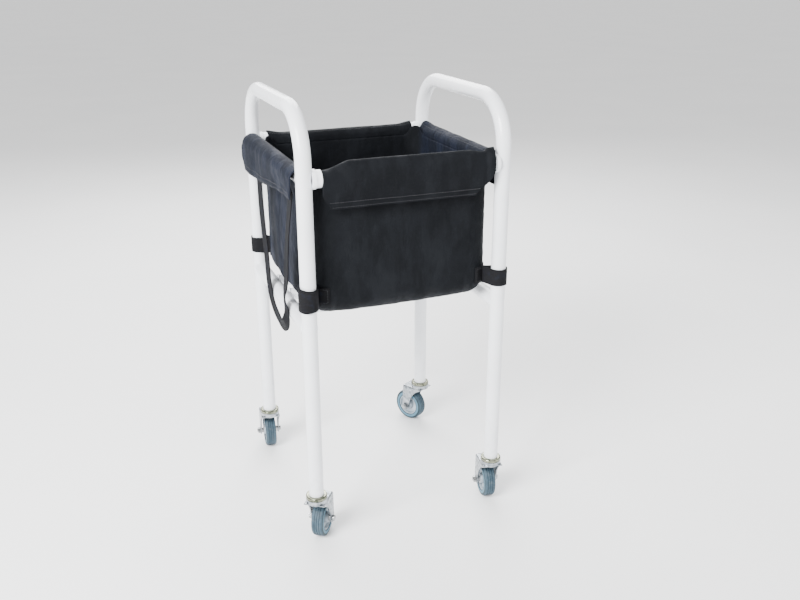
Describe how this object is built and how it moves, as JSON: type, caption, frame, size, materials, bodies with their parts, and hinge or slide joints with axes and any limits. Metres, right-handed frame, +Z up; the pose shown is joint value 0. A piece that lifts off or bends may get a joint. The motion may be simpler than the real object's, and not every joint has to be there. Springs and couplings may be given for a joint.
{
  "type": "ball cart",
  "caption": "Ball cart: white tube hoops on swivel casters carry an open dark cloth bag hung on rim rails, with a webbing carry strap at one side.",
  "frame": {"origin": "on the floor under the wheels, midway between the four posts", "axes": "+Z up, +Y from the front to the rear, +X to the right as seen from the front; the carry strap hangs on the -X side"},
  "size_m": [0.4623, 0.4989, 0.905],
  "materials": {
    "white_paint": "gloss powder coat",
    "bare_steel": "plain drawn steel",
    "grey_plastic": "moulded",
    "bag_cloth": "coated woven polyester",
    "board": "matt sheet",
    "webbing": "ribbed webbing",
    "zinc_head": "yellow zinc plate",
    "zinc_fork": "clear zinc plate",
    "ball_steel": "polished",
    "bolt_zinc": "clear zinc plate",
    "bush_steel": "plain",
    "tyre_rubber": "matt",
    "hub_plastic": "moulded"
  },
  "bodies": {
    "root": {"hoop_left": "white_paint", "hoop_right": "white_paint", "low_rail_left": "white_paint", "low_rail_right": "white_paint", "rim_rail_left": "white_paint", "rim_rail_right": "white_paint", "rim_rail_front": "white_paint", "rim_rail_rear": "white_paint", "cross_bar_front": "white_paint", "cross_bar_middle": "white_paint", "cross_bar_rear": "white_paint", "rim_socket_front_left": "white_paint", "rim_socket_front_right": "white_paint", "rim_socket_rear_left": "white_paint", "rim_socket_rear_right": "white_paint", "cross_bar_spigots": "bare_steel", "leg_inserts": "grey_plastic", "bag_body": "bag_cloth", "flap_front": "bag_cloth", "flap_rear": "bag_cloth", "flap_left": "bag_cloth", "flap_right": "bag_cloth", "bag_base_board": "board", "carry_strap": "webbing", "corner_strap_front_left": "webbing", "corner_strap_front_right": "webbing", "corner_strap_rear_left": "webbing", "corner_strap_rear_right": "webbing", "caster_head_front_left": "zinc_head", "caster_head_front_right": "zinc_head", "caster_head_rear_left": "zinc_head", "caster_head_rear_right": "zinc_head", "caster_ball_ring_front_left": "ball_steel", "caster_ball_ring_front_right": "ball_steel", "caster_ball_ring_rear_left": "ball_steel", "caster_ball_ring_rear_right": "ball_steel"},
    "swivel_front_left": {"caster_fork_front_left": "zinc_fork", "axle_bolt_front_left": "bolt_zinc", "axle_nut_front_left": "bolt_zinc"},
    "wheel_front_left": {"tyre_front_left": "tyre_rubber", "wheel_hub_front_left": "hub_plastic", "wheel_bush_front_left": "bush_steel"},
    "swivel_front_right": {"caster_fork_front_right": "zinc_fork", "axle_bolt_front_right": "bolt_zinc", "axle_nut_front_right": "bolt_zinc"},
    "wheel_front_right": {"tyre_front_right": "tyre_rubber", "wheel_hub_front_right": "hub_plastic", "wheel_bush_front_right": "bush_steel"},
    "swivel_rear_left": {"caster_fork_rear_left": "zinc_fork", "axle_bolt_rear_left": "bolt_zinc", "axle_nut_rear_left": "bolt_zinc"},
    "wheel_rear_left": {"tyre_rear_left": "tyre_rubber", "wheel_hub_rear_left": "hub_plastic", "wheel_bush_rear_left": "bush_steel"},
    "swivel_rear_right": {"caster_fork_rear_right": "zinc_fork", "axle_bolt_rear_right": "bolt_zinc", "axle_nut_rear_right": "bolt_zinc"},
    "wheel_rear_right": {"tyre_rear_right": "tyre_rubber", "wheel_hub_rear_right": "hub_plastic", "wheel_bush_rear_right": "bush_steel"}
  },
  "joints": [
    {"name": "front_left_swivel", "type": "hinge", "parent": "root", "child": "swivel_front_left", "pos_m": [-0.2, -0.2, 0.1], "axis": [0, 0, 1], "continuous": true},
    {"name": "front_left_wheel_spin", "type": "hinge", "parent": "swivel_front_left", "child": "wheel_front_left", "pos_m": [-0.18237, -0.17573, 0.04], "axis": [-0.809, 0.5878, 0], "continuous": true},
    {"name": "front_right_swivel", "type": "hinge", "parent": "root", "child": "swivel_front_right", "pos_m": [0.2, -0.2, 0.1], "axis": [0, 0, 1], "continuous": true},
    {"name": "front_right_wheel_spin", "type": "hinge", "parent": "swivel_front_right", "child": "wheel_front_right", "pos_m": [0.20521, -0.17046, 0.04], "axis": [-0.9848, 0.1736, 0], "continuous": true},
    {"name": "rear_left_swivel", "type": "hinge", "parent": "root", "child": "swivel_rear_left", "pos_m": [-0.2, 0.2, 0.1], "axis": [0, 0, 1], "continuous": true},
    {"name": "rear_left_wheel_spin", "type": "hinge", "parent": "swivel_rear_left", "child": "wheel_rear_left", "pos_m": [-0.19686, 0.22984, 0.04], "axis": [-0.9945, 0.1045, 0], "continuous": true},
    {"name": "rear_right_swivel", "type": "hinge", "parent": "root", "child": "swivel_rear_right", "pos_m": [0.2, 0.2, 0.1], "axis": [0, 0, 1], "continuous": true},
    {"name": "rear_right_wheel_spin", "type": "hinge", "parent": "swivel_rear_right", "child": "wheel_rear_right", "pos_m": [0.185, 0.22598, 0.04], "axis": [-0.866, -0.5, 0], "continuous": true}
  ]
}
